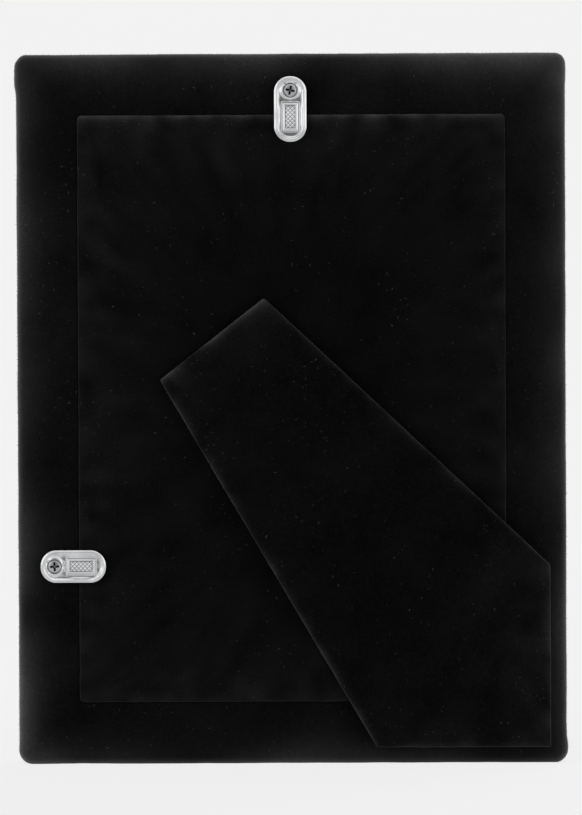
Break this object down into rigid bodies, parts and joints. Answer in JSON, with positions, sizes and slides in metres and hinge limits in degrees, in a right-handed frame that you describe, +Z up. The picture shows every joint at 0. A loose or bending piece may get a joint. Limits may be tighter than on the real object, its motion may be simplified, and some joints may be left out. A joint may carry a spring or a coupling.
{
  "type": "picture frame",
  "caption": "Upright tabletop picture frame with a velvet-covered back, removable panel held by turn buttons, and a slanted hinged strut for standing upright or on its side.",
  "frame": {"origin": "middle of the bottom edge, at half the depth with the strut closed", "axes": "+Z up, +X to the right as seen from behind, +Y from the velvet back to the glass"},
  "size_m": [0.17, 0.0178, 0.22],
  "materials": {
    "velvet": "matte",
    "silver_plate": "polished",
    "nickel": "polished",
    "steel": "satin",
    "rail_wood": "matte",
    "hardboard": "matte",
    "greyboard": "matte",
    "paper": "matte",
    "lining_paper": "matte",
    "glass": "polished"
  },
  "bodies": {
    "frame": {"front_moulding": "silver_plate", "glass_pane": "glass", "picture_insert": "paper", "backing_card": "greyboard", "rail_top": "rail_wood", "rail_left": "rail_wood", "rail_bottom": "rail_wood", "rail_right": "rail_wood", "corner_nail_1": "steel", "corner_nail_2": "steel", "corner_nail_3": "steel", "corner_nail_4": "steel", "body_velvet": "velvet", "panel_board": "hardboard", "panel_velvet": "velvet", "panel_lining": "lining_paper", "tongue_bottom": "steel", "tongue_bottom_rivet": "steel", "tongue_right": "steel", "tongue_right_rivet": "steel", "screw_top": "nickel", "screw_left": "nickel", "hinge_panel_leaf": "steel", "hinge_pin": "steel", "hinge_panel_rivet_1": "steel", "hinge_panel_rivet_2": "steel"},
    "strut": {"strut_board": "hardboard", "strut_velvet": "velvet", "strut_lining": "lining_paper", "hinge_strut_leaf": "steel", "hinge_strut_rivet_1": "steel", "hinge_strut_rivet_2": "steel"},
    "button_top": {"turn_button_top": "nickel"},
    "button_left": {"turn_button_left": "nickel"}
  },
  "joints": [
    {"name": "strut_hinge", "type": "hinge", "parent": "frame", "child": "strut", "pos_m": [-0.02347, -0.00685, 0.12952], "axis": [-0.788, 0, -0.6157], "range_deg": [0, 30]},
    {"name": "top_button_turn", "type": "hinge", "parent": "frame", "child": "button_top", "pos_m": [0, -0.0065, 0.2084], "axis": [0, 1, 0], "continuous": true},
    {"name": "left_button_turn", "type": "hinge", "parent": "frame", "child": "button_left", "pos_m": [-0.0735, -0.0065, 0.0616], "axis": [0, 1, 0], "continuous": true}
  ]
}
